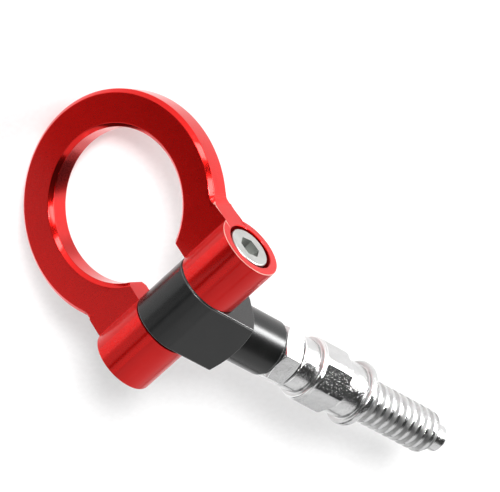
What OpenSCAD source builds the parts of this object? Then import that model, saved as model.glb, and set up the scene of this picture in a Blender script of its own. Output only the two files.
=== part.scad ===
// Folding tow eye: a ring shackle that swings on a pivot bolt, a black swivel head
// and a plated adapter stud that screws into a bumper's towing socket.
// Millimetres. The origin is the middle of the stud's seat face. +X runs along the
// stud towards its tip, +Y along the pivot bolt towards its head, and +Z is up.

/* [Ring shackle] */
// Outer diameter of the ring
ring_od = 70; // [64:1:84]
// Diameter of the eye
ring_id = 47; // [38:1:52]
// Thickness of the ring plate
ring_t = 8.7; // [6:0.1:12]
// Chamfer along the ring's edges
ring_chamfer = 1.2; // [0.4:0.1:2]
// Distance from the pivot to the middle of the eye
ring_reach = 37.3; // [36:0.1:48]
// Angle that the ring hangs below the stud's line
ring_droop = 58.4; // [0:0.1:140]
// Radius of the hollow where the ring runs into its base
ring_fillet = 6; // [2:0.5:8]
// Diameter of the two pivot bosses
boss_d = 21; // [19:0.1:24]
// Width over the two pivot bosses
shackle_w = 57; // [54:0.5:62]
// Chamfer on the bosses' end edges
boss_edge = 0.3; // [0.1:0.1:0.8]
// Wall left at the bottom of the threaded boss
boss_floor = 2.4; // [1.5:0.1:6]

/* [Pivot bolt] */
// Diameter of the bolt's shank
bolt_d = 8; // [6:0.5:9]
// Diameter of the bolt's head
bolt_head_d = 13.6; // [12:0.1:14.5]
// Height of the bolt's head
bolt_head_h = 8; // [6:0.1:9]
// Depth of the head's top below the boss's end
bolt_recess = 0.2; // [0.1:0.05:1.5]
// Rounding of the head's rim
bolt_rim = 0.5; // [0.3:0.1:1.2]
// Width across the flats of the hex socket
socket_af = 6.4; // [5:0.1:7]
// Depth of the hex socket
socket_depth = 4.2; // [3:0.1:5]
// Width of the socket's countersunk mouth
socket_mouth_d = 7.4; // [7:0.1:9]
// Turn of the hex socket about the bolt
socket_turn = 8; // [0:1:60]

/* [Swivel head] */
// Diameter of the head's barrel, which is its thickness too
head_d = 21.2; // [20:0.1:23]
// Width of the head between the bosses
head_w = 20.2; // [18:0.1:23]
// Distance from the pivot to the end of the head's block
block_end = 18; // [16:0.1:22]
// Radius at which the turned slope of the block's end begins
block_slope_r = 9.9; // [9.2:0.1:11]
// Angle of that slope from the end face
block_slope = 23; // [10:1:40]
// Chamfer round the block's long edges
block_edge = 0.4; // [0.2:0.1:1]
// Diameter of the head's round stem
stem_d = 18; // [15:0.1:18.4]
// Distance from the pivot to the end of the stem
stem_end = 33.6; // [30:0.1:42]
// Chamfer at the stem's end
stem_chamfer = 0.8; // [0.3:0.1:1.5]

/* [Lock nut] */
// Width across the nut's flats
nut_af = 17; // [16:0.5:19]
// Thickness of the nut
nut_t = 7.3; // [5:0.1:10]
// Turn of the nut about the stud
nut_turn = 52; // [0:1:60]

/* [Adapter stud] */
// Diameter of the shank that the head turns on
shank_d = 10; // [8:0.5:12]
// Distance from the pivot to the shank's end
shank_start = 13; // [10:0.1:16]
// Bare length of shank between the nut and the collar
shank_gap = 0.4; // [0.2:0.1:4]
// Diameter of the collar behind the hexagon
collar_d = 17.5; // [14:0.1:18.4]
// Length of the collar behind the hexagon
collar_len = 6.6; // [3:0.1:12]
// Width across the stud's flats
stud_af = 19; // [18.6:0.1:22]
// Length of the hexagon
stud_hex_len = 11.4; // [8:0.1:18]
// Turn of the hexagon about the stud
stud_hex_turn = 24; // [0:1:60]
// Height of the round lands between the flats, above the flats
stud_land_h = 0.85; // [0.3:0.05:1.3]
// Diameter of the round rim behind the hexagon
stud_rim_d = 20.5; // [19.2:0.1:24]
// Length of the round rim between the collar and the hexagon
stud_rim_len = 1.2; // [0.6:0.1:3]
// Diameter of the neck in front of the hexagon
neck_d = 18; // [14:0.1:18.4]
// Length of the neck in front of the hexagon
neck_len = 7.8; // [3:0.1:12]
// Diameter of the flange that seats in the socket
flange_d = 21.4; // [19.5:0.1:26]
// Thickness of the flange
flange_t = 2.6; // [2:0.1:6]
// Rounding of the flange's rim
flange_round = 0.9; // [0.3:0.1:0.95]

/* [Tow thread] */
// Outer diameter of the thread
thread_d = 14.4; // [12:0.1:18]
// Distance between neighbouring turns
thread_pitch = 3.1; // [2:0.1:4]
// Depth of the thread
thread_depth = 0.95; // [0.6:0.05:1.2]
// Width of a crest
crest_w = 1.1; // [0.5:0.05:1.3]
// Width of the bottom of the groove
groove_w = 0.6; // [0.3:0.05:0.8]
// Diameter of the plain shoulder next to the flange
shoulder_d = 14.8; // [13:0.1:19]
// Length of the plain shoulder
shoulder_len = 1.7; // [1.2:0.1:6]
// Length of the run-out between the shoulder and the thread
runout_len = 0.8; // [0.7:0.1:3]
// Distance from the seat to the thread's end
thread_end = 32; // [20:0.5:48]
// Diameter of the pilot tip
tip_d = 9; // [6:0.1:10]
// Length of the pilot tip
tip_len = 6.1; // [2:0.1:12]
// Chamfer at the pilot tip's end
tip_chamfer = 1; // [0.3:0.1:2]

/* [Clearances] */
// Gap round the pivot bolt and round the shank
pin_play = 0.05; // [0.02:0.01:0.09]
// Gap on each side of the head between the bosses
fork_play = 0.2; // [0.1:0.05:0.5]
// Gap round the bolt's head in its counterbore
counterbore_play = 1; // [0.3:0.05:1.6]
// Gap between the lock nut and the stem
nut_play = 0.05; // [0.02:0.01:0.3]
// Depth left beyond the end of the shank and of the bolt
bore_play = 1; // [0.5:0.1:2]

/* [Hidden] */
$fn = 96;
past = 1;
hex_sides = 6;
machined_edge = 0.3;
quarter_turn = 90;
nut_slope = 30;

ring_r = ring_od / 2;
eye_r = ring_id / 2;
boss_r = boss_d / 2;
ring_turn = 180 - ring_droop;
fork_gap = head_w + 2 * fork_play;
side_y = shackle_w / 2;

bolt_r = bolt_d / 2;
bolt_hole_r = bolt_r + pin_play;
head_top_y = side_y - bolt_recess;
head_seat_y = head_top_y - bolt_head_h;
bolt_end_y = -side_y + boss_floor + bore_play;
counterbore_r = bolt_head_d / 2 + counterbore_play;

stem_r = stem_d / 2;
shank_hole_r = shank_d / 2 + pin_play;
block_corner_r = sqrt(pow(head_d, 2) + pow(head_w, 2)) / 2;

nut_start = stem_end + nut_play;
collar_start = nut_start + nut_t + shank_gap;
hex_start = collar_start + collar_len;
hex_end = hex_start + stud_rim_len + stud_hex_len;
flange_start = hex_end + neck_len;
seat_x = flange_start + flange_t;

thread_r = thread_d / 2;
root_r = thread_r - thread_depth;
runout_r = root_r - machined_edge;
thread_start = shoulder_len + runout_len;
flank_run = (thread_pitch - crest_w - groove_w) / 2;
groove_over = machined_edge;
groove_steps = 24;

// Carries what is drawn along +Z from the pivot onto the stud's axis
module along_stud() {
  translate([-seat_x, 0, 0]) rotate([0, 90, 0]) children();
}

// Carries what is drawn along +Z from the pivot onto the pivot bolt's axis
module along_pivot() {
  translate([-seat_x, 0, 0]) rotate([-90, 0, 0]) children();
}

// A turned solid along +Z with a chamfer at each end
module turned(start, end, r, chamfer) {
  rotate_extrude() polygon([
    [0, start], [r - chamfer, start], [r, start + chamfer],
    [r, end - chamfer], [r - chamfer, end], [0, end]
  ]);
}

// A straight hexagon bar along +Z
module hex_bar(start, end, af, turn) {
  rotate([0, 0, turn]) translate([0, 0, start])
    linear_extrude(height = end - start) circle(r = af / 2 / cos(180 / hex_sides), $fn = hex_sides);
}

// A hexagon nut along +Z whose corners are turned off at both ends
module nut_blank(start, end, af, turn) {
  corner_r = af / 2 / cos(180 / hex_sides);
  end_r = af / 2 - machined_edge;
  slope_len = (corner_r - end_r) * tan(nut_slope);
  intersection() {
    hex_bar(start, end, af, turn);
    rotate_extrude() polygon([
      [0, start], [end_r, start], [corner_r, start + slope_len],
      [corner_r, end - slope_len], [end_r, end], [0, end]
    ]);
  }
}

// Ring disc with its chamfered rim, in the plane of X and Y round the origin
module ring_disc() {
  half = ring_t / 2;
  rotate_extrude() polygon([
    [0, -half], [ring_r - ring_chamfer, -half], [ring_r, ring_chamfer - half],
    [ring_r, half - ring_chamfer], [ring_r - ring_chamfer, half], [0, half]
  ]);
}

// The eye's hole with its two chamfered mouths
module eye_hole() {
  half = ring_t / 2;
  mouth_r = eye_r + ring_chamfer;
  rotate_extrude() polygon([
    [0, -half - past], [mouth_r + past, -half - past], [eye_r, ring_chamfer - half],
    [eye_r, half - ring_chamfer], [mouth_r + past, half + past], [0, half + past]
  ]);
}

// Hollow corner between the ring's rim and one side of its base
module base_fillet() {
  fillet_y = side_y + ring_fillet;
  fillet_x = ring_reach - sqrt(pow(ring_r + ring_fillet, 2) - pow(fillet_y, 2));
  share = ring_r / (ring_r + ring_fillet);
  rim = [ring_reach + (fillet_x - ring_reach) * share, fillet_y * share];
  translate([0, 0, -ring_t / 2]) linear_extrude(height = ring_t) difference() {
    polygon([[fillet_x, side_y - past], [fillet_x, fillet_y], rim, [rim[0], side_y - past]]);
    translate([fillet_x, fillet_y]) circle(r = ring_fillet);
  }
}

// Puts the shackle, drawn with its ring along +X of the pivot, at its droop
module drooped() {
  translate([-seat_x, 0, 0]) rotate([0, ring_turn, 0]) children();
}

module ring_shackle() color("firebrick") drooped() difference() {
  union() {
    translate([ring_reach, 0, 0]) ring_disc();
    translate([0, -side_y, -ring_t / 2]) cube([ring_reach / 2, shackle_w, ring_t]);
    base_fillet();
    mirror([0, 1, 0]) base_fillet();
    rotate([-90, 0, 0]) turned(-side_y, side_y, boss_r, boss_edge);
  }
  translate([ring_reach, 0, 0]) eye_hole();
  translate([-boss_r - past, -fork_gap / 2, -boss_r - past])
    cube([boss_r + ring_reach + past, fork_gap, 2 * (boss_r + past)]);
  rotate([-90, 0, 0]) translate([0, 0, head_seat_y])
    cylinder(h = side_y - head_seat_y + past, r = counterbore_r);
  rotate([-90, 0, 0]) translate([0, 0, bolt_end_y - bore_play])
    cylinder(h = head_seat_y - bolt_end_y + bore_play + past, r = bolt_hole_r);
}

module pivot_bolt() color("gainsboro") along_pivot() difference() {
  union() {
    turned(bolt_end_y, head_seat_y + machined_edge, bolt_r, machined_edge);
    rotate_extrude() polygon(concat(
      [[0, head_seat_y], [bolt_head_d / 2 - machined_edge, head_seat_y],
       [bolt_head_d / 2, head_seat_y + machined_edge]],
      [for (a = [0:15:90])
        [bolt_head_d / 2 - bolt_rim + bolt_rim * cos(a), head_top_y - bolt_rim + bolt_rim * sin(a)]],
      [[0, head_top_y]]
    ));
  }
  rotate([0, 0, socket_turn]) translate([0, 0, head_top_y - socket_depth])
    linear_extrude(height = socket_depth + past)
      circle(r = socket_af / 2 / cos(180 / hex_sides), $fn = hex_sides);
  mouth_depth = (socket_mouth_d - socket_af) / 2;
  translate([0, 0, head_top_y - mouth_depth])
    cylinder(h = mouth_depth + past, r1 = socket_af / 2, r2 = socket_mouth_d / 2 + past);
}

// Block of the head: a U-shaped bar whose end is turned to a blunt slope
module head_block() {
  slope_len = (block_corner_r - block_slope_r) * tan(block_slope);
  intersection() {
    rotate([90, 0, 0]) union() {
      turned(-head_w / 2, head_w / 2, head_d / 2, block_edge);
      linear_extrude(height = head_w, center = true)
        translate([-head_d / 2, 0]) square([head_d, block_end]);
    }
    block_outline();
    rotate_extrude() polygon([
      [0, -head_d], [block_corner_r, -head_d], [block_corner_r, block_end - slope_len],
      [block_slope_r, block_end], [0, block_end]
    ]);
  }
}

// Square bar with broken edges that trims the block's long edges
module block_outline() {
  x = head_d / 2;
  y = head_w / 2;
  translate([0, 0, -head_d]) linear_extrude(height = head_d + block_end) polygon([
    [x, block_edge - y], [x, y - block_edge], [x - block_edge, y], [block_edge - x, y],
    [-x, y - block_edge], [-x, block_edge - y], [block_edge - x, -y], [x - block_edge, -y]
  ]);
}

module swivel_head() color("darkslategray") difference() {
  along_stud() union() {
    head_block();
    turned(0, stem_end, stem_r, stem_chamfer);
  }
  along_pivot() translate([0, 0, -head_w / 2 - past])
    cylinder(h = head_w + 2 * past, r = bolt_hole_r);
  along_stud() translate([0, 0, shank_start - bore_play])
    cylinder(h = stem_end - shank_start + bore_play + past, r = shank_hole_r);
}

module lock_nut() color("silver") along_stud() difference() {
  nut_blank(nut_start, nut_start + nut_t, nut_af, nut_turn + quarter_turn);
  translate([0, 0, nut_start - past])
    cylinder(h = nut_t + 2 * past, r = shank_hole_r);
}

// Spiral groove that cuts the thread, swept along +Z of the stud
module thread_groove() {
  half_root = groove_w / 2;
  half_top = half_root + flank_run * (1 + groove_over / thread_depth);
  section = [
    [-half_top, thread_r + groove_over], [-half_root, root_r],
    [half_root, root_r], [half_top, thread_r + groove_over]
  ];
  lead_in = half_top + machined_edge;
  first = seat_x + shoulder_len + lead_in;
  turns = ceil((thread_end - shoulder_len) / thread_pitch) + 1;
  rings = turns * groove_steps;
  points = [for (i = [0:rings], p = section)
    let (a = 360 * i / groove_steps)
    [p[1] * cos(a), p[1] * sin(a), first + p[0] + thread_pitch * i / groove_steps]];
  sides = [for (i = [0:rings - 1], k = [0:3])
    let (a = 4 * i + k, b = 4 * i + (k + 1) % 4)
    each [[a, a + 4, b], [b, a + 4, b + 4]]];
  polyhedron(
    points = points,
    faces = concat([[0, 1, 2, 3]], sides, [[for (k = [3:-1:0]) 4 * rings + k]]),
    convexity = 10
  );
}

// Pilot tip, thread blank, run-out, flange, neck, collar and shank as one turning
module stud_turning() {
  rim_r = stud_rim_d / 2;
  bar_r = stud_af / 2 + stud_land_h;
  flange_r = flange_d / 2;
  round_x = [flange_start + flange_round, seat_x - flange_round];
  tip_end = seat_x + thread_end + tip_len;
  rotate_extrude() polygon(concat(
    [
      [0, shank_start], [shank_d / 2 - machined_edge, shank_start],
      [shank_d / 2, shank_start + machined_edge], [shank_d / 2, collar_start],
      [collar_d / 2 - machined_edge, collar_start],
      [collar_d / 2, collar_start + machined_edge], [collar_d / 2, hex_start],
      [rim_r - machined_edge, hex_start], [rim_r, hex_start + machined_edge],
      [rim_r, hex_start + stud_rim_len], [bar_r, hex_start + stud_rim_len],
      [bar_r, hex_end - machined_edge], [bar_r - machined_edge, hex_end], [neck_d / 2, hex_end],
      [neck_d / 2, flange_start],
      [flange_r - flange_round, flange_start]
    ],
    [for (a = [-75:15:0])
      [flange_r - flange_round + flange_round * cos(a), round_x[0] + flange_round * sin(a)]],
    [for (a = [0:15:90])
      [flange_r - flange_round + flange_round * cos(a), round_x[1] + flange_round * sin(a)]],
    [
      [shoulder_d / 2, seat_x], [shoulder_d / 2, seat_x + shoulder_len - machined_edge],
      [shoulder_d / 2 - machined_edge, seat_x + shoulder_len],
      [runout_r, seat_x + shoulder_len], [runout_r, seat_x + thread_start - machined_edge],
      [thread_r, seat_x + thread_start + thread_depth],
      [thread_r, seat_x + thread_end - thread_depth],
      [root_r, seat_x + thread_end], [tip_d / 2, seat_x + thread_end],
      [tip_d / 2, tip_end - tip_chamfer], [tip_d / 2 - tip_chamfer, tip_end], [0, tip_end]
    ]
  ));
}

// What is milled away round the stud's hexagon
module milled_flats() {
  start = hex_start + stud_rim_len + machined_edge;
  end = hex_end + past;
  difference() {
    translate([0, 0, start]) cylinder(h = end - start, r = stud_af);
    hex_bar(start - past, end + past, stud_af, stud_hex_turn + quarter_turn);
  }
}

module adapter_stud() color("lightgray") along_stud() difference() {
  stud_turning();
  milled_flats();
  thread_groove();
}

adapter_stud();
lock_nut();
swivel_head();
ring_shackle();
pivot_bolt();
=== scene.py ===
import math

import bmesh
import bpy
from mathutils import Matrix, Vector


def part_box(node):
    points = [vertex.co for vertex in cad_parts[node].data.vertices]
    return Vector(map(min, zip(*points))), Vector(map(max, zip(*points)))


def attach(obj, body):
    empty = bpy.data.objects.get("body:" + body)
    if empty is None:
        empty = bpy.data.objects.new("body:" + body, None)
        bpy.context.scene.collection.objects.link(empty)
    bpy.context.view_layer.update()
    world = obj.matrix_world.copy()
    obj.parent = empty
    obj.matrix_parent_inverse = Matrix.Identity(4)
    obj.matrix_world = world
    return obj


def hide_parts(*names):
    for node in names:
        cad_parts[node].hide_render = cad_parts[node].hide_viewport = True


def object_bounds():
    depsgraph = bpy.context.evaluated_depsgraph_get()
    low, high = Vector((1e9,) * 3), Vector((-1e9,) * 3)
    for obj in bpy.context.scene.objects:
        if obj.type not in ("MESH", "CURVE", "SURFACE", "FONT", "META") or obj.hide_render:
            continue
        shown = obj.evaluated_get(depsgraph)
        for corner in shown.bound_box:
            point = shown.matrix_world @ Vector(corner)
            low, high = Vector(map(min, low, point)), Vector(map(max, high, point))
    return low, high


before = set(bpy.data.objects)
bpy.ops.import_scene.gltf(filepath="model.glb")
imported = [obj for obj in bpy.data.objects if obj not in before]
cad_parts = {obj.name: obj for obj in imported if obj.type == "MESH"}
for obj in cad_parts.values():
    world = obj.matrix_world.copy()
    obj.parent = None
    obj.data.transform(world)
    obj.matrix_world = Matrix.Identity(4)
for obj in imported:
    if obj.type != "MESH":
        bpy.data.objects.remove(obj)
bpy.context.view_layer.update()
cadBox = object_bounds()

# Sizes are in millimetres and the dictionaries' angles in degrees, except where a note says otherwise
mm = 0.001
tiny = 0.01  # corners nearer than this are one corner
overcut = 1  # how far a cutting tool runs past what it cuts
brokenEdgeSlot = 1  # the material slot of the broken edges; where its colour is paler, that is partly wear and partly painted highlight


# Small helpers

def clearSelection():
    bpy.ops.object.select_all(action="DESELECT")


def pick(piece):
    clearSelection()
    piece.select_set(True)
    bpy.context.view_layer.objects.active = piece


def justAdded(name):
    piece = bpy.context.object
    piece.name = name
    piece.data.name = name
    bpy.ops.object.transform_apply(location=True, rotation=True, scale=True)
    return piece


def applyModifier(piece, kind, **settings):
    pick(piece)
    modifier = piece.modifiers.new(kind.title(), kind)
    for setting, value in settings.items():
        setattr(modifier, setting, value)
    bpy.ops.object.modifier_apply(modifier=modifier.name)


def combine(piece, tool, how):  # how is UNION, DIFFERENCE or INTERSECT
    applyModifier(piece, "BOOLEAN", operation=how, object=tool, solver="EXACT")
    bpy.data.objects.remove(tool, do_unlink=True)


def boxPiece(name, low, high):
    clearSelection()
    bpy.ops.mesh.primitive_cube_add(size=1, location=[(a + b) / 2 * mm for a, b in zip(low, high)])
    bpy.context.object.scale = [(b - a) * mm for a, b in zip(low, high)]
    return justAdded(name)


def roundBar(name, start, end, radius, axis="Z", centre=(0, 0, 0), sides=128):
    turns = {"Z": (0, 0, 0), "Y": (-math.pi / 2, 0, 0)}
    direction = Vector((0, 1, 0)) if axis == "Y" else Vector((0, 0, 1))
    middle = Vector(centre) + direction * (start + end) / 2
    clearSelection()
    bpy.ops.mesh.primitive_cylinder_add(
        vertices=sides, radius=radius * mm, depth=(end - start) * mm,
        location=middle * mm, rotation=turns[axis])
    return justAdded(name)


def hexBar(name, start, end, flats, turn):  # a corner lies at turn degrees from +X
    cornerRadius = flats / 2 / math.cos(math.pi / 6)
    cornerToX = 30  # a new cylinder has a corner on +Y, and this brings one to +X
    clearSelection()
    bpy.ops.mesh.primitive_cylinder_add(
        vertices=6, radius=cornerRadius * mm, depth=(end - start) * mm,
        location=(0, 0, (start + end) / 2 * mm), rotation=(0, 0, math.radians(turn + cornerToX)))
    return justAdded(name)


def turnedPiece(name, stations, sides=128):  # a disc drawn out along Z, station by station: (place, radius)
    place, radius = stations[0]
    clearSelection()
    bpy.ops.mesh.primitive_circle_add(
        vertices=sides, radius=radius * mm, fill_type="NGON", location=(0, 0, place * mm))
    piece = justAdded(name)
    bpy.ops.object.mode_set(mode="EDIT")
    for nextPlace, nextRadius in stations[1:]:
        bpy.ops.mesh.extrude_region_move(
            TRANSFORM_OT_translate={"value": (0, 0, (nextPlace - place) * mm)})
        size = nextRadius / radius
        bpy.ops.transform.resize(value=(size, size, 1), center_override=(0, 0, nextPlace * mm))
        place, radius = nextPlace, nextRadius
    bpy.ops.mesh.select_all(action="SELECT")
    bpy.ops.mesh.normals_make_consistent(inside=False)
    bpy.ops.object.mode_set(mode="OBJECT")
    return piece


def corner(place, radius, size, start, end, steps=4):  # stations round a corner, angles from outwards to +Z
    angles = [math.radians(start + (end - start) * k / steps) for k in range(steps + 1)]
    return [(place + size * math.sin(a), radius + size * math.cos(a)) for a in angles]


def chooseEdges(piece, wanted):  # leaves edit mode on, with the edges that pass the test selected
    pick(piece)
    bpy.ops.object.mode_set(mode="EDIT")
    bpy.ops.mesh.select_mode(type="EDGE")
    bpy.ops.mesh.select_all(action="DESELECT")
    shape = bmesh.from_edit_mesh(piece.data)
    for edge in shape.edges:
        edge.select_set(wanted(*(vertex.co / mm for vertex in edge.verts)))
    shape.select_flush_mode()
    bmesh.update_edit_mesh(piece.data)


def chamferEdges(piece, wanted, width):
    chooseEdges(piece, wanted)
    bpy.ops.mesh.bevel(offset=width * mm, segments=1, affect="EDGES")
    bpy.ops.object.mode_set(mode="OBJECT")


def addSlots(piece, count):  # empty until handOver fills them
    for slot in range(count):
        piece.data.materials.append(None)


# Breaks the edges sharper than so many degrees, so that they catch the light, but for the spared ones
def softenEdges(piece, width, sharperThan=30, spared=None):
    pick(piece)
    bpy.ops.object.mode_set(mode="EDIT")
    bpy.ops.mesh.select_mode(type="EDGE")
    bpy.ops.mesh.select_all(action="SELECT")
    bpy.ops.mesh.remove_doubles(threshold=tiny * mm)
    bpy.ops.object.mode_set(mode="OBJECT")
    applyModifier(piece, "TRIANGULATE", min_vertices=5)  # faces of many sides don't bevel well
    addSlots(piece, 2)
    bpy.ops.object.mode_set(mode="EDIT")
    bpy.ops.mesh.select_all(action="DESELECT")
    shape = bmesh.from_edit_mesh(piece.data)
    for edge in shape.edges:
        sharp = edge.is_manifold and edge.calc_face_angle() > math.radians(sharperThan)
        middle = (edge.verts[0].co + edge.verts[1].co) / 2 / mm
        edge.select_set(sharp and not (spared and spared(middle)))
    bmesh.update_edit_mesh(piece.data)
    bpy.ops.mesh.bevel(
        offset=width * mm, segments=2, affect="EDGES", clamp_overlap=False, material=brokenEdgeSlot)
    bpy.ops.object.mode_set(mode="OBJECT")


def keepPaleEdges(piece, staysPale):  # gives the first slot back to each broken edge whose middle fails the test
    for face in piece.data.polygons:
        if face.material_index == brokenEdgeSlot and not staysPale(face.center / mm):
            face.material_index = 0


def smoothShading(piece, sharperThan=35, weight=80):
    pick(piece)
    bpy.ops.object.shade_smooth_by_angle(angle=math.radians(sharperThan))
    applyModifier(piece, "WEIGHTED_NORMAL", keep_sharp=True, weight=weight)


def setInPlace(piece, turn, place):  # the turn in degrees, the place in metres
    pick(piece)
    piece.rotation_euler = [math.radians(angle) for angle in turn]
    piece.location = place
    bpy.ops.object.transform_apply(location=True, rotation=True, scale=True)


# Materials

def toLinear(hexColour):
    channels = [int(hexColour[k:k + 2], 16) / 255 for k in (1, 3, 5)]
    return [c / 12.92 if c <= 0.04045 else ((c + 0.055) / 1.055) ** 2.4 for c in channels] + [1]


def perMetre(size):  # pattern scale for a feature of that many millimetres
    return 1 / (size * mm)


def addNode(material, kind, settings, links=()):  # stops are a ramp's own: two of (place, colour)
    node = material.node_tree.nodes.new("ShaderNode" + kind)
    for name, value in settings.items():
        if name == "stops":
            for element, (place, hexColour) in zip(node.color_ramp.elements, value):
                element.position = place
                element.color = toLinear(hexColour)
        elif name in node.inputs:
            node.inputs[name].default_value = value
        else:
            setattr(node, name, value)
    for name, source in dict(links).items():
        material.node_tree.links.new(source, node.inputs[name])
    return node


def newMaterial(name):  # and the place on the piece that its patterns start from
    material = bpy.data.materials.new(name)
    material.use_nodes = True
    material.node_tree.nodes.clear()
    return material, addNode(material, "TexCoord", {}).outputs["Object"]


def finishMaterial(material, settings, links):
    shader = addNode(material, "BsdfPrincipled", settings, links)
    addNode(material, "OutputMaterial", {}, {"Surface": shader.outputs["BSDF"]})
    return material


def redAnodisedAluminium(name, dyes, roughness):
    # Milled aluminium dyed red under a clear hard oxide skin: deep red metal under faint white lights.
    # The real grain is too fine to show, so it is drawn coarser.
    spec = {"cloud": 18, "cloudStops": (0.3, 0.7), "grain": 0.35, "grainDepth": 0.004}
    material, place = newMaterial(name)
    cloud = addNode(
        material, "TexNoise", {"Scale": perMetre(spec["cloud"]), "Detail": 2}, {"Vector": place})
    dye = addNode(
        material, "ValToRGB", {"stops": zip(spec["cloudStops"], dyes)}, {"Fac": cloud.outputs["Fac"]})
    grain = addNode(
        material, "TexNoise", {"Scale": perMetre(spec["grain"]), "Detail": 3}, {"Vector": place})
    rough = addNode(
        material, "MapRange", {"To Min": roughness[0], "To Max": roughness[1]},
        {"Value": grain.outputs["Fac"]})
    bump = addNode(
        material, "Bump", {"Distance": spec["grainDepth"] * mm, "Strength": 1},
        {"Height": grain.outputs["Fac"]})
    return finishMaterial(
        material,
        {"Metallic": 1, "Coat Weight": 0.4, "Coat Roughness": 0.1, "Coat IOR": 1.45},
        {"Base Color": dye.outputs["Color"], "Roughness": rough.outputs["Result"],
         "Normal": bump.outputs["Normal"]})


def blackCoatedSteel(name, coats, roughness):
    # Machined steel under a thin black coat: charcoal on the flats, a sharp streak on the round stem.
    # The real grain is too fine to show, so it is drawn coarser.
    spec = {"cloud": 6, "cloudStops": (0.35, 0.65), "grain": 0.3, "grainDepth": 0.006}
    material, place = newMaterial(name)
    cloud = addNode(
        material, "TexNoise", {"Scale": perMetre(spec["cloud"]), "Detail": 4}, {"Vector": place})
    coat = addNode(
        material, "ValToRGB", {"stops": zip(spec["cloudStops"], coats)}, {"Fac": cloud.outputs["Fac"]})
    grain = addNode(
        material, "TexNoise", {"Scale": perMetre(spec["grain"]), "Detail": 2}, {"Vector": place})
    rough = addNode(
        material, "MapRange", {"To Min": roughness[0], "To Max": roughness[1]},
        {"Value": cloud.outputs["Fac"]})
    bump = addNode(
        material, "Bump", {"Distance": spec["grainDepth"] * mm, "Strength": 1},
        {"Height": grain.outputs["Fac"]})
    return finishMaterial(
        material,
        {"IOR": 1.45},
        {"Base Color": coat.outputs["Color"], "Roughness": rough.outputs["Result"],
         "Normal": bump.outputs["Normal"]})


def brightPlating(name, tints, roughness, grain, grainDepth):
    # Plating over turned steel: near white, with small dents that show where it mirrors the dark.
    # The real dents are finer, and they are drawn coarser so that they show.
    spec = {"cloud": 3, "cloudStops": (0.35, 0.65), "dentRange": (0.57, 0.72)}
    material, place = newMaterial(name)
    cloud = addNode(
        material, "TexNoise", {"Scale": perMetre(spec["cloud"]), "Detail": 3}, {"Vector": place})
    tint = addNode(
        material, "ValToRGB", {"stops": zip(spec["cloudStops"], tints)}, {"Fac": cloud.outputs["Fac"]})
    pits = addNode(
        material, "TexNoise", {"Scale": perMetre(grain), "Detail": 1}, {"Vector": place})
    dents = addNode(
        material, "MapRange", {"From Min": spec["dentRange"][0], "From Max": spec["dentRange"][1]},
        {"Value": pits.outputs["Fac"]})
    rough = addNode(
        material, "MapRange", {"To Min": roughness[0], "To Max": roughness[1]},
        {"Value": cloud.outputs["Fac"]})
    bump = addNode(
        material, "Bump", {"Distance": grainDepth * mm, "Strength": 1},
        {"Height": dents.outputs["Result"]})
    return finishMaterial(
        material,
        {"Metallic": 1},
        {"Base Color": tint.outputs["Color"], "Roughness": rough.outputs["Result"],
         "Normal": bump.outputs["Normal"]})


redTurned = redAnodisedAluminium("redAnodisedTurned", ["#c61411", "#ce1614"], roughness=(0.42, 0.5))
redWornAndHighlit = redAnodisedAluminium(  # dye rubbed thin, and paled further as a painted highlight on the broken edges
    "redAnodisedWornAndHighlitEdge", ["#e8a89c", "#f0b4a8"], roughness=(0.3, 0.4))
redPolished = redAnodisedAluminium("redAnodisedPolished", ["#d41612", "#dc1815"], roughness=(0.14, 0.2))
redMilled = redAnodisedAluminium("redAnodisedMilled", ["#d01411", "#d81613"], roughness=(0.25, 0.31))
blackCoat = blackCoatedSteel("blackCoatedSteel", ["#0a0b0b", "#101010"], roughness=(0.2, 0.3))
# grey broken edges: partly the coat worn through, partly painted highlight
blackWornAndHighlit = blackCoatedSteel("blackCoatedWornAndHighlitEdge", ["#3c3c3c", "#5a5a5a"], roughness=(0.2, 0.3))
studPlating = brightPlating(
    "chromePlatedSteel", ["#c4c4c4", "#cccccc"], roughness=(0.14, 0.2), grain=0.4, grainDepth=0.025)
# paler broken edges: partly polish, partly painted highlight
platingPolishedAndHighlit = brightPlating(
    "chromePolishedAndHighlitEdge", ["#f2f2f2", "#f8f8f8"], roughness=(0.1, 0.18), grain=0.4, grainDepth=0.01)
# darker plating in the thread's grooves: painted shade
grooveShade = brightPlating(
    "chromeGrooveShade", ["#a6a6a6", "#c6c6c6"], roughness=(0.26, 0.36), grain=0.4, grainDepth=0.025)
boltPlating = brightPlating(
    "zincPlatedSteel", ["#b0b2af", "#bcbebb"], roughness=(0.3, 0.38), grain=0.3, grainDepth=0.005)
print("materials made")

# Where the pieces lie: the pivot bolt's axis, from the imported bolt
boltLow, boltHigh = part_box("pivot_bolt")
pivotPlace = Vector(((boltLow.x + boltHigh.x) / 2, 0, 0))

# Ring shackle, drawn with its ring along +X of the pivot and its plate flat
ringShackle = {
    "ringRadius": 35, "eyeRadius": 23.5, "thickness": 8.7, "chamfer": 1.2, "reach": 37.3, "droop": 58.4,
    "plateLap": 0.3, "filletRadius": 6, "cutterTip": 2, "bossRadius": 10.5, "width": 57, "forkGap": 20.6,
    "counterboreRadius": 7.8, "counterboreDepth": 8.2, "boreRadius": 4.05, "boreFloor": 2.4,
    "sharpBand": 1, "softEdge": 0.18, "ringSides": 240, "filletSides": 96,
}


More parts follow.
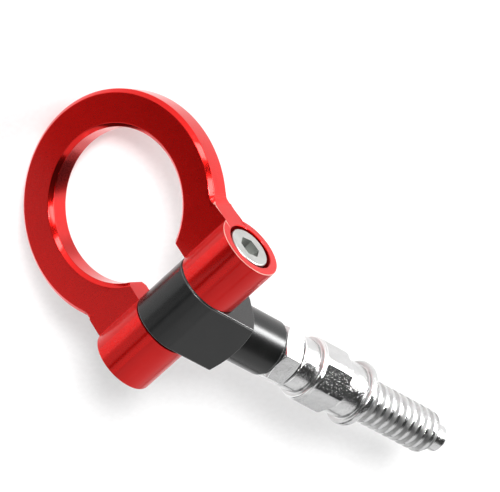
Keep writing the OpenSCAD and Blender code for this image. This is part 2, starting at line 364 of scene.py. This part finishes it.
def makeRing(spec):
    half, chamfer, soft = spec["thickness"] / 2, spec["chamfer"], spec["softEdge"]
    reach, ringRadius, side = spec["reach"], spec["ringRadius"], spec["width"] / 2
    fillet = spec["filletRadius"]
    ring = roundBar("ringShackle", -half, half, ringRadius, centre=(reach, 0, 0), sides=spec["ringSides"])
    chamferEdges(ring, lambda a, b: abs(a.z - b.z) < tiny, chamfer)

    # The plate under the ring, with a hollow corner on each side
    filletY = side + fillet
    filletX = reach - math.sqrt((ringRadius + fillet) ** 2 - filletY ** 2)
    share = ringRadius / (ringRadius + fillet)
    rimX, rimY = reach + (filletX - reach) * share, filletY * share
    plate = boxPiece("plate", (0, -rimY, -half), (rimX + spec["plateLap"], rimY, half))
    back = filletX * 1.5  # carries the hollow's back half past the plate's foot
    for flip in (-1, 1):
        hollow = roundBar(
            "hollow", -half - overcut, half + overcut, fillet,
            centre=(filletX, flip * filletY, 0), sides=spec["filletSides"])
        chooseEdges(hollow, lambda a, b: max(a.x, b.x) < filletX - tiny)
        bpy.ops.transform.translate(value=(-back * mm, 0, 0))
        bpy.ops.object.mode_set(mode="OBJECT")
        combine(plate, hollow, "DIFFERENCE")
    combine(ring, plate, "UNION")

    # The chamfer runs out where its cutter was lifted off, at the start of each hollow corner
    cutterTip, slope = spec["cutterTip"], chamfer + overcut
    cutterShare = (ringRadius + cutterTip + tiny) / (ringRadius + fillet)
    for flip in (-1, 1):
        cutter = turnedPiece("cutter", [
            (-half - overcut, cutterTip + slope), (chamfer - half, cutterTip),
            (half - chamfer, cutterTip), (half + overcut, cutterTip + slope)], sides=spec["filletSides"])
        setInPlace(cutter, (0, 0, 0), Vector((
            reach + (filletX - reach) * cutterShare, flip * filletY * cutterShare, 0)) * mm)
        combine(ring, cutter, "DIFFERENCE")

    combine(ring, roundBar("boss", -side, side, spec["bossRadius"], axis="Y"), "UNION")

    mouth = spec["eyeRadius"] + chamfer
    eye = turnedPiece("eye", [
        (-half - overcut, mouth + overcut), (chamfer - half, spec["eyeRadius"]),
        (half - chamfer, spec["eyeRadius"]), (half + overcut, mouth + overcut)], sides=spec["ringSides"])
    setInPlace(eye, (0, 0, 0), (reach * mm, 0, 0))
    combine(ring, eye, "DIFFERENCE")

    gap, past = spec["forkGap"] / 2, spec["bossRadius"] + overcut
    combine(ring, boxPiece("fork", (-past, -gap, -past), (reach, gap, past)), "DIFFERENCE")

    # The bolt's way through the bosses, with a broken edge at the counterbore's mouth
    seat, bore, wide = side - spec["counterboreDepth"], spec["boreRadius"], spec["counterboreRadius"]
    way = turnedPiece("way", [
        (spec["boreFloor"] - side, bore), (seat, bore), (seat, wide), (side - soft, wide),
        (side + overcut, wide + soft + overcut)])
    setInPlace(way, (-90, 0, 0), (0, 0, 0))
    combine(ring, way, "DIFFERENCE")

    def isSpared(point):  # the way's own edges, and those at the end of the chamfer
        return (math.hypot(point.x, point.z) < wide + spec["sharpBand"]
                or math.hypot(point.x - rimX, abs(point.y) - rimY) < chamfer / 2)

    softenEdges(ring, soft, spared=isSpared)
    # only the broken edges of the boss ends and arm sides keep the pale colour: partly worn dye, partly
    # painted highlight
    keepPaleEdges(ring, lambda centre: abs(centre.y) > side - 2 * soft and centre.x < rimX - cutterTip)

    # The third slot is for the polished rims of the ring, the fourth for its milled faces
    polishedSlot, milledSlot = 2, 3
    flat = 0.9  # a face is flat where its normal rises more than this
    addSlots(ring, 2)
    for face in ring.data.polygons:
        away = math.hypot(face.center.x / mm - reach, face.center.y / mm)
        onRim = away < mouth or (away > ringRadius - chamfer and face.center.x / mm > rimX)
        if face.material_index == 0 and abs(face.normal.z) > flat:
            face.material_index = milledSlot
        elif face.material_index == 0 and onRim:
            face.material_index = polishedSlot
    smoothShading(ring)
    setInPlace(ring, (0, 180 - spec["droop"], 0), pivotPlace)
    return ring


# Pivot bolt, drawn along +Z and laid along +Y
pivotBolt = {
    "shankRadius": 4, "headRadius": 6.8, "headTop": 28.3, "headHeight": 8, "shankEnd": -25.1, "rim": 0.5,
    "endChamfer": 0.3, "socketFlats": 6.4, "socketDepth": 4.2, "socketTurn": 8,
    "drillPoint": 1.1, "drillTip": 0.05, "drillLap": 0.2, "drillPlay": 0.1,
    "sharpFoot": 1, "softEdge": 0.1, "boltSides": 96, "drillSides": 48,
}


def makeBolt(spec):
    top, head, edge = spec["headTop"], spec["headRadius"], spec["endChamfer"]
    seat, shank = top - spec["headHeight"], spec["shankRadius"]
    bolt = turnedPiece("pivotBolt", [
        (spec["shankEnd"], shank - edge), (spec["shankEnd"] + edge, shank), (seat, shank),
        (seat, head - edge), (seat + edge, head),
        *corner(top - spec["rim"], head - spec["rim"], spec["rim"], 0, 90)], sides=spec["boltSides"])
    floor = top - spec["socketDepth"]
    socket = hexBar("socket", floor, top + overcut, spec["socketFlats"], spec["socketTurn"])
    combine(bolt, socket, "DIFFERENCE")
    drill = turnedPiece("drill", [
        (floor - spec["drillPoint"], spec["drillTip"]),
        (floor + spec["drillLap"], spec["socketFlats"] / 2 - spec["drillPlay"])], sides=spec["drillSides"])
    combine(bolt, drill, "DIFFERENCE")
    foot = floor + spec["sharpFoot"]  # the edges from the seat up to here stay sharp
    softenEdges(bolt, spec["softEdge"], spared=lambda point: seat < point.z < foot)
    smoothShading(bolt)
    setInPlace(bolt, (-90, 0, 0), pivotPlace)
    return bolt


# Swivel head, drawn along +Z from the pivot and laid along +X
swivelHead = {
    "barrelRadius": 10.6, "width": 20.2, "blockEnd": 18, "slopeRadius": 9.9, "slope": 23, "blockEdge": 0.4,
    "stemRadius": 9, "stemStart": 1, "stemEnd": 33.6, "stemChamfer": 0.8, "boltHole": 4.05,
    "shankHole": 5.05, "shankHoleStart": 12, "softEdge": 0.12, "envelopeSides": 192, "holeSides": 64,
}


def makeHead(spec):
    radius, side, end = spec["barrelRadius"], spec["width"] / 2, spec["blockEnd"]
    head = roundBar("swivelHead", -side, side, radius, axis="Y")
    pick(head)
    bpy.ops.object.mode_set(mode="EDIT")
    bpy.ops.mesh.select_all(action="SELECT")
    bpy.ops.mesh.bisect(plane_co=(0, 0, 0), plane_no=(0, 0, 1), use_fill=True, clear_outer=True)
    bpy.ops.mesh.extrude_region_move(TRANSFORM_OT_translate={"value": (0, 0, end * mm)})
    bpy.ops.mesh.select_all(action="SELECT")
    bpy.ops.mesh.remove_doubles(threshold=tiny * mm)
    bpy.ops.mesh.normals_make_consistent(inside=False)
    bpy.ops.object.mode_set(mode="OBJECT")

    def isSideEdge(a, b):  # round the two sides, but not the seam where barrel and block meet
        onSide = abs(a.y - b.y) < tiny and abs(a.y) > side - tiny
        onSeam = abs(a.z) < tiny and abs(b.z) < tiny
        return onSide and max(a.z, b.z) < end + tiny and not onSeam

    chamferEdges(head, isSideEdge, spec["blockEdge"])
    cornerRadius = math.hypot(radius, side)
    slopeLength = (cornerRadius - spec["slopeRadius"]) * math.tan(math.radians(spec["slope"]))
    behind = -2 * radius  # well past the barrel
    envelope = turnedPiece("envelope", [
        (behind, cornerRadius + overcut), (end - slopeLength, cornerRadius + overcut),
        (end - slopeLength, cornerRadius), (end, spec["slopeRadius"])], sides=spec["envelopeSides"])
    combine(head, envelope, "INTERSECT")
    stem = turnedPiece("stem", [
        (spec["stemStart"], spec["stemRadius"]), (spec["stemEnd"] - spec["stemChamfer"], spec["stemRadius"]),
        (spec["stemEnd"], spec["stemRadius"] - spec["stemChamfer"])])
    combine(head, stem, "UNION")
    boltHole = roundBar(
        "hole", -side - overcut, side + overcut, spec["boltHole"], axis="Y", sides=spec["holeSides"])
    combine(head, boltHole, "DIFFERENCE")
    shankHole = roundBar(
        "hole", spec["shankHoleStart"], spec["stemEnd"] + overcut, spec["shankHole"],
        sides=spec["holeSides"])
    combine(head, shankHole, "DIFFERENCE")
    softenEdges(head, spec["softEdge"])
    smoothShading(head)
    setInPlace(head, (0, 90, 0), pivotPlace)
    return head


# Lock nut, drawn along +Z from the pivot
lockNut = {
    "flats": 17, "start": 33.65, "length": 7.3, "turn": 52, "bore": 5.05, "slope": 30,
    "cornerPlay": 0.05, "endInset": 0.3, "softEdge": 0.14, "sharperThan": 20,
    "blankSides": 192, "boreSides": 64,
}
turnFromY = 90  # a hexagon's turn is from +Y to +Z as it lies, and a quarter turn more while it is drawn


def makeNut(spec):
    start, end = spec["start"], spec["start"] + spec["length"]
    nut = hexBar("lockNut", start, end, spec["flats"], spec["turn"] + turnFromY)
    cornerRadius = spec["flats"] / 2 / math.cos(math.pi / 6) + spec["cornerPlay"]
    endRadius = spec["flats"] / 2 - spec["endInset"]
    slopeLength = (cornerRadius - endRadius) * math.tan(math.radians(spec["slope"]))
    blank = turnedPiece("blank", [
        (start, endRadius), (start + slopeLength, cornerRadius),
        (end - slopeLength, cornerRadius), (end, endRadius)], sides=spec["blankSides"])
    combine(nut, blank, "INTERSECT")
    bore = roundBar("bore", start - overcut, end + overcut, spec["bore"], sides=spec["boreSides"])
    combine(nut, bore, "DIFFERENCE")
    softenEdges(nut, spec["softEdge"], sharperThan=spec["sharperThan"])
    smoothShading(nut)
    setInPlace(nut, (0, 90, 0), pivotPlace)
    return nut


# Adapter stud, drawn along +Z from the pivot
adapterStud = {
    "shankRadius": 5, "shankStart": 13, "collarStart": 41.35, "collarRadius": 8.75, "hexStart": 47.95,
    "rimRadius": 10.25, "rimLength": 1.2, "hexEnd": 60.55, "hexFlats": 19, "hexTurn": 24,
    "landHeight": 0.85, "neckRadius": 9, "flangeStart": 68.35, "flangeEnd": 70.95, "flangeRadius": 10.7,
    "flangeRound": 0.9, "flangeSteps": 6, "shoulderRadius": 7.4, "shoulderLength": 1.7,
    "runoutRadius": 5.95, "threadStart": 2.5, "threadEnd": 32, "threadRadius": 7.2, "threadDepth": 0.95,
    "pitch": 3.1, "crest": 1.1, "root": 0.6, "crestRound": 0.2, "crestSteps": 3, "stepsPerTurn": 72,
    "endOver": 0.3, "endUnder": 0.15, "tipRadius": 4.5, "tipLength": 6.1, "tipChamfer": 1,
    "edge": 0.3, "softEdge": 0.12, "sharperThan": 25,
}


def makeThread(spec):  # one pitch of the profile wound into a rod, then turned down to the thread's two ends
    outer, inner = spec["threadRadius"], spec["threadRadius"] - spec["threadDepth"]
    run = (spec["pitch"] - spec["crest"] - spec["root"]) / 2
    lean = math.atan2(spec["threadDepth"], run)
    soft, steps = spec["crestRound"], spec["crestSteps"]
    setback = soft * math.tan(lean / 2)
    start = spec["flangeEnd"] + spec["shoulderLength"] + spec["root"] / 2
    flankStart, flankEnd = spec["root"] / 2, spec["root"] / 2 + run
    crestEnd = flankEnd + spec["crest"]

    def crestCorner(place, direction):  # direction is 1 where the flank rises and -1 where it falls
        sweep = [lean * (1 - k / steps if direction > 0 else k / steps) for k in range(steps + 1)]
        return [(place - direction * soft * math.sin(a), outer - soft + soft * math.cos(a)) for a in sweep]

    profile = [(0, inner), (flankStart, inner), *crestCorner(flankEnd + setback, 1),
               *crestCorner(crestEnd - setback, -1), (spec["pitch"] - flankStart, inner),
               (spec["pitch"], inner)]
    early = 3  # turns wound before the thread's start, which are cut off again
    clearSelection()
    bpy.ops.mesh.primitive_plane_add(size=1 * mm)
    thread = justAdded("thread")
    bpy.ops.object.mode_set(mode="EDIT")
    bpy.ops.mesh.select_mode(type="VERT")
    bpy.ops.mesh.select_all(action="SELECT")
    bpy.ops.mesh.merge(type="CENTER")
    bpy.ops.transform.translate(value=(inner * mm, 0, (start - early * spec["pitch"]) * mm))
    for (z, r), (nextZ, nextR) in zip(profile, profile[1:]):
        bpy.ops.mesh.extrude_region_move(
            TRANSFORM_OT_translate={"value": ((nextR - r) * mm, 0, (nextZ - z) * mm)})
    bpy.ops.object.mode_set(mode="OBJECT")
    turns = math.ceil(spec["threadEnd"] / spec["pitch"]) + early + 1  # the last one runs past its end
    applyModifier(
        thread, "SCREW", angle=2 * math.pi, screw_offset=spec["pitch"] * mm, iterations=turns,
        steps=spec["stepsPerTurn"], render_steps=spec["stepsPerTurn"], use_normal_calculate=True)
    pick(thread)
    bpy.ops.object.mode_set(mode="EDIT")
    bpy.ops.mesh.select_mode(type="EDGE")
    bpy.ops.mesh.select_all(action="SELECT")
    weld = tiny / 5  # well under the profile's shortest step
    bpy.ops.mesh.remove_doubles(threshold=weld * mm)
    for end in (-1, 1):  # closes each open end towards the axis
        bpy.ops.mesh.select_all(action="DESELECT")
        shape = bmesh.from_edit_mesh(thread.data)
        heights = [vertex.co.z for vertex in shape.verts]
        middle = (min(heights) + max(heights)) / 2
        for edge in shape.edges:
            if edge.is_boundary and (edge.verts[0].co.z - middle) * end > 0:
                edge.select_set(True)
        bmesh.update_edit_mesh(thread.data)
        bpy.ops.mesh.extrude_edges_move()
        bpy.ops.mesh.merge(type="CENTER")
    bpy.ops.mesh.select_all(action="SELECT")
    bpy.ops.mesh.normals_make_consistent(inside=False)
    bpy.ops.object.mode_set(mode="OBJECT")

    # Both ends are turned at 45 degrees, from just inside the run-out to just outside the crests
    first, last = spec["flangeEnd"] + spec["threadStart"], spec["flangeEnd"] + spec["threadEnd"]
    over, under = outer + spec["endOver"], spec["runoutRadius"] - spec["endUnder"]
    ends = turnedPiece("ends", [
        (first - spec["edge"] - spec["endUnder"], under), (first + over - inner, over),
        (last - over + inner, over), (last, inner)])
    combine(thread, ends, "INTERSECT")
    return thread


def makeStud(spec):
    edge, hexStart, hexEnd = spec["edge"], spec["hexStart"], spec["hexEnd"]
    rim, rimEnd = spec["rimRadius"], spec["hexStart"] + spec["rimLength"]
    bar = spec["hexFlats"] / 2 + spec["landHeight"]
    flange, soft, seat = spec["flangeRadius"], spec["flangeRound"], spec["flangeEnd"]
    threadEnd = seat + spec["threadEnd"]
    tipEnd = threadEnd + spec["tipLength"]
    stud = turnedPiece("adapterStud", [
        (spec["shankStart"], spec["shankRadius"] - edge), (spec["shankStart"] + edge, spec["shankRadius"]),
        (spec["collarStart"], spec["shankRadius"]), (spec["collarStart"], spec["collarRadius"] - edge),
        (spec["collarStart"] + edge, spec["collarRadius"]),
        (hexStart, spec["collarRadius"]), (hexStart, rim - edge), (hexStart + edge, rim),
        (rimEnd - edge / 2, rim), (rimEnd, rim - edge / 2), (rimEnd + edge / 2, bar),
        (hexEnd - edge, bar), (hexEnd, bar - edge), (hexEnd, spec["neckRadius"]),
        (spec["flangeStart"], spec["neckRadius"]),
        *corner(spec["flangeStart"] + soft, flange - soft, soft, -90, 0, spec["flangeSteps"]),
        *corner(seat - soft, flange - soft, soft, 0, 90, spec["flangeSteps"]),
        (seat, spec["shoulderRadius"]), (seat + spec["shoulderLength"] - edge, spec["shoulderRadius"]),
        (seat + spec["shoulderLength"], spec["shoulderRadius"] - edge),
        (seat + spec["shoulderLength"], spec["runoutRadius"]),
        (threadEnd - edge, spec["runoutRadius"]), (threadEnd - edge, spec["tipRadius"]),
        (tipEnd - spec["tipChamfer"], spec["tipRadius"]), (tipEnd, spec["tipRadius"] - spec["tipChamfer"])])

    # The hexagon's flats, milled from the round bar
    outside = 2 * rim  # well outside the round bar
    mill = roundBar("mill", rimEnd + edge, hexEnd + overcut, outside)
    flats = hexBar(
        "flats", rimEnd - overcut, hexEnd + 2 * overcut, spec["hexFlats"], spec["hexTurn"] + turnFromY)
    combine(mill, flats, "DIFFERENCE")
    combine(stud, mill, "DIFFERENCE")
    softenEdges(stud, spec["softEdge"], sharperThan=spec["sharperThan"])
    combine(stud, makeThread(spec), "UNION")

    # The third slot is for the thread's grooves, whose plating is painted darker as painted shade
    grooveShadeSlot = 2
    addSlots(stud, 1)
    for face in stud.data.polygons:
        centre = face.center / mm
        inThread = seat + spec["shoulderLength"] < centre.z < threadEnd
        if inThread and math.hypot(centre.x, centre.y) < spec["threadRadius"] - spec["crestRound"]:
            face.material_index = grooveShadeSlot
    smoothShading(stud)
    setInPlace(stud, (0, 90, 0), pivotPlace)
    return stud


def handOver(piece, body, node, materials):
    for index, material in enumerate(materials):
        piece.data.materials[index] = material
    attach(piece, body)
    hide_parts(node)
    print(f"{piece.name} made, {len(piece.data.polygons)} faces")


handOver(makeRing(ringShackle), "ring", "ring_shackle", [
    redTurned, redWornAndHighlit, redPolished, redMilled])
handOver(makeBolt(pivotBolt), "ring", "pivot_bolt", [boltPlating, boltPlating])
handOver(makeHead(swivelHead), "head", "swivel_head", [blackCoat, blackWornAndHighlit])
handOver(makeNut(lockNut), "stud", "lock_nut", [studPlating, platingPolishedAndHighlit])
handOver(makeStud(adapterStud), "stud", "adapter_stud", [
    studPlating, platingPolishedAndHighlit, grooveShade])

# Floor, camera and lights
studio = {
    "floorGap": 1, "floorSize": 16,  # the size in metres
    "paper": ("#f6f6f6", "#fafafa"), "paperStops": (0.3, 0.7), "paperRoughness": 0.9, "fibre": 2,
    "worldColour": "#ffffff", "worldStrength": 0.05,
}
photoCamera = {
    "place": (-0.510014, 0.367634, 0.559288),  # metres
    "turn": (0.6687777, 0.4312345, -0.6447997),  # the axis times the angle in radians
    "lens": 194.39, "sensor": 36,
}
softBoxes = {  # turn is from +X, rise from the horizon, and away, wide and high are in metres
    "keyBox": {"turn": 133, "rise": 39, "away": 3.0, "wide": 0.4, "high": 0.4, "bright": 150},
    "chamferBox": {"turn": 110, "rise": 36, "away": 2.0, "wide": 0.32, "high": 0.62, "bright": 15},
    "lowBox": {"turn": 120, "rise": 8, "away": 3.0, "wide": 1.1, "high": 0.6, "bright": 14},
    "streakBox": {"turn": 55, "rise": 8, "away": 1.8, "wide": 0.9, "high": 0.5, "bright": 28},
    "whiteBox": {"turn": 50, "rise": 12, "away": 2.2, "wide": 1.6, "high": 0.86, "bright": 2.4},
    "sideBox": {"turn": -42, "rise": 30, "away": 2.2, "wide": 3.0, "high": 2.1, "bright": 1.0},
    "topBox": {"turn": -88, "rise": 64, "away": 2.0, "wide": 1.3, "high": 1.2, "bright": 0.95},
    "faceBox": {"turn": -126, "rise": 12, "away": 0.7, "wide": 0.72, "high": 0.42, "bright": 0.75},
    "rimBox": {"turn": 160, "rise": 12, "away": 2.2, "wide": 1.5, "high": 0.8, "bright": 1.0},
    "bossBox": {"turn": -138, "rise": 46, "away": 1.5, "wide": 0.8, "high": 0.6, "bright": 0.8},
}


def makeFloor(spec):
    lowest = cadBox[0].z - spec["floorGap"] * mm
    clearSelection()
    bpy.ops.mesh.primitive_plane_add(size=spec["floorSize"], location=(0, 0, lowest))
    floor = justAdded("floor")
    # Matt white paper: a plain pale ground with a faint fibre
    material, place = newMaterial("mattWhitePaper")
    fibre = addNode(
        material, "TexNoise", {"Scale": perMetre(spec["fibre"]), "Detail": 2}, {"Vector": place})
    shade = addNode(
        material, "ValToRGB", {"stops": zip(spec["paperStops"], spec["paper"])},
        {"Fac": fibre.outputs["Fac"]})
    floor.data.materials.append(finishMaterial(
        material, {"Roughness": spec["paperRoughness"]}, {"Base Color": shade.outputs["Color"]}))


def makeCamera(spec):
    turnVector = Vector(spec["turn"])  # from the model's frame to the camera's
    turn = Matrix.Rotation(turnVector.length, 4, turnVector.normalized()).transposed()
    camera = bpy.data.cameras.new("camera")
    camera.lens = spec["lens"]
    camera.sensor_width = spec["sensor"]
    holder = bpy.data.objects.new("camera", camera)
    holder.matrix_world = Matrix.Translation(Vector(spec["place"])) @ turn
    bpy.context.scene.collection.objects.link(holder)
    bpy.context.scene.camera = holder


def makeLight(name, spec):  # a soft box that faces the pivot; bright is what a mirror sees in it
    turn, rise = math.radians(spec["turn"]), math.radians(spec["rise"])
    direction = Vector((math.cos(turn) * math.cos(rise), math.sin(turn) * math.cos(rise), math.sin(rise)))
    lamp = bpy.data.lights.new(name, "AREA")
    lamp.shape = "RECTANGLE"
    lamp.size, lamp.size_y = spec["wide"], spec["high"]
    lamp.energy = spec["bright"] * math.pi * spec["wide"] * spec["high"]
    holder = bpy.data.objects.new(name, lamp)
    holder.location = direction * spec["away"] + pivotPlace
    holder.rotation_euler = direction.to_track_quat("Z", "Y").to_euler()
    bpy.context.scene.collection.objects.link(holder)


def makeWorld(spec):
    world = bpy.data.worlds.new("studio")
    world.use_nodes = True
    background = world.node_tree.nodes["Background"]
    background.inputs["Color"].default_value = toLinear(spec["worldColour"])
    background.inputs["Strength"].default_value = spec["worldStrength"]
    bpy.context.scene.world = world


makeFloor(studio)
makeCamera(photoCamera)
for name, spec in softBoxes.items():
    makeLight(name, spec)
makeWorld(studio)
bpy.context.scene.view_settings.view_transform = "Standard"
print("studio made")
